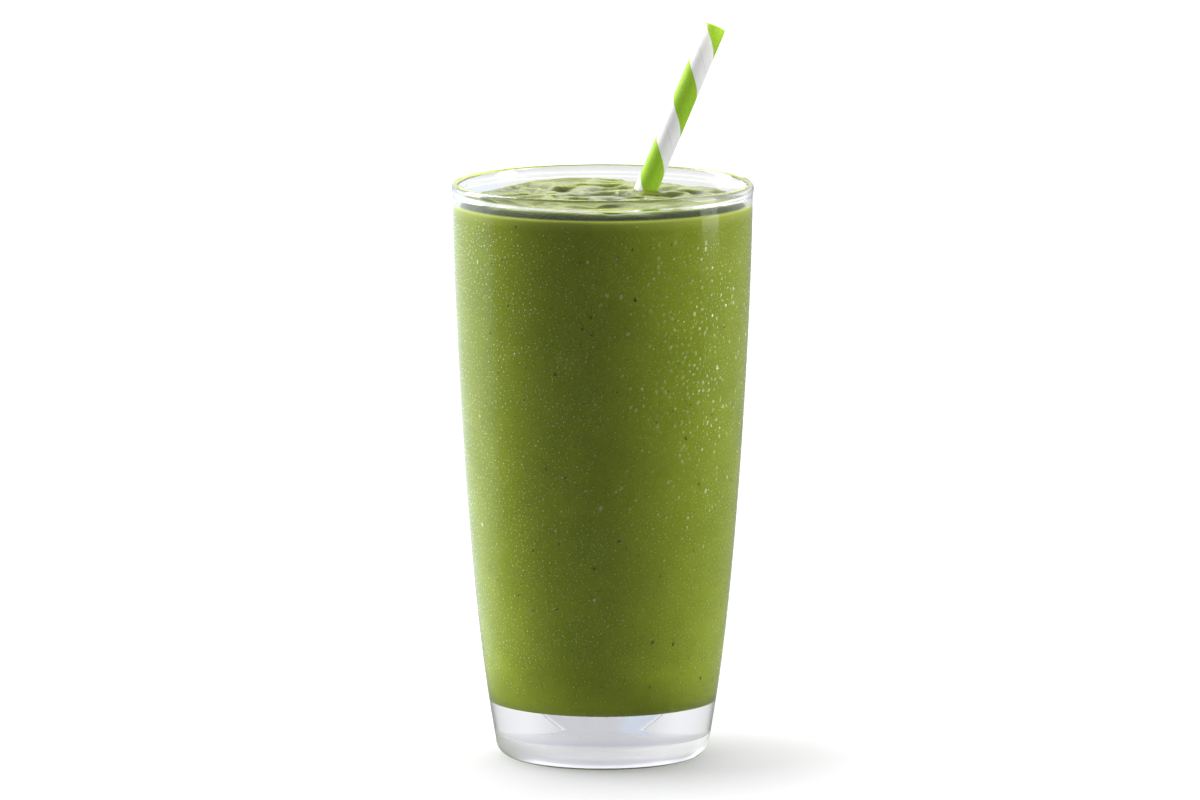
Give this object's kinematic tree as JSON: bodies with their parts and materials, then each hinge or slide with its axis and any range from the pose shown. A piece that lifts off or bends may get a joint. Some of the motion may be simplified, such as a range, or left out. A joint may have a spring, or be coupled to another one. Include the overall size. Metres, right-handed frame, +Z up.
{
  "type": "green smoothie in a glass",
  "caption": "Thick green smoothie filling a tall tapered clear glass with a heavy foot and beaded rim, and a striped paper straw leaning in it.",
  "frame": {"origin": "centre of the glass's flat foot, on the plane that it stands on", "axes": "+Z up along the glass's axis, +Y away from the viewer, +X to the viewer's right, towards which the straw leans"},
  "size_m": [0.0794, 0.0794, 0.1916],
  "materials": {
    "clear_glass": "clear pressed glass, dewed with fine condensation below the drink's level",
    "green_drink": "thick opaque blended fruit and leaf drink, wet sheen, fine dark flecks",
    "striped_paper": "matt paper with a helical stripe of lime green and white"
  },
  "bodies": {
    "root": {"glass": "clear_glass", "smoothie": "green_drink", "straw": "striped_paper"}
  },
  "joints": []
}
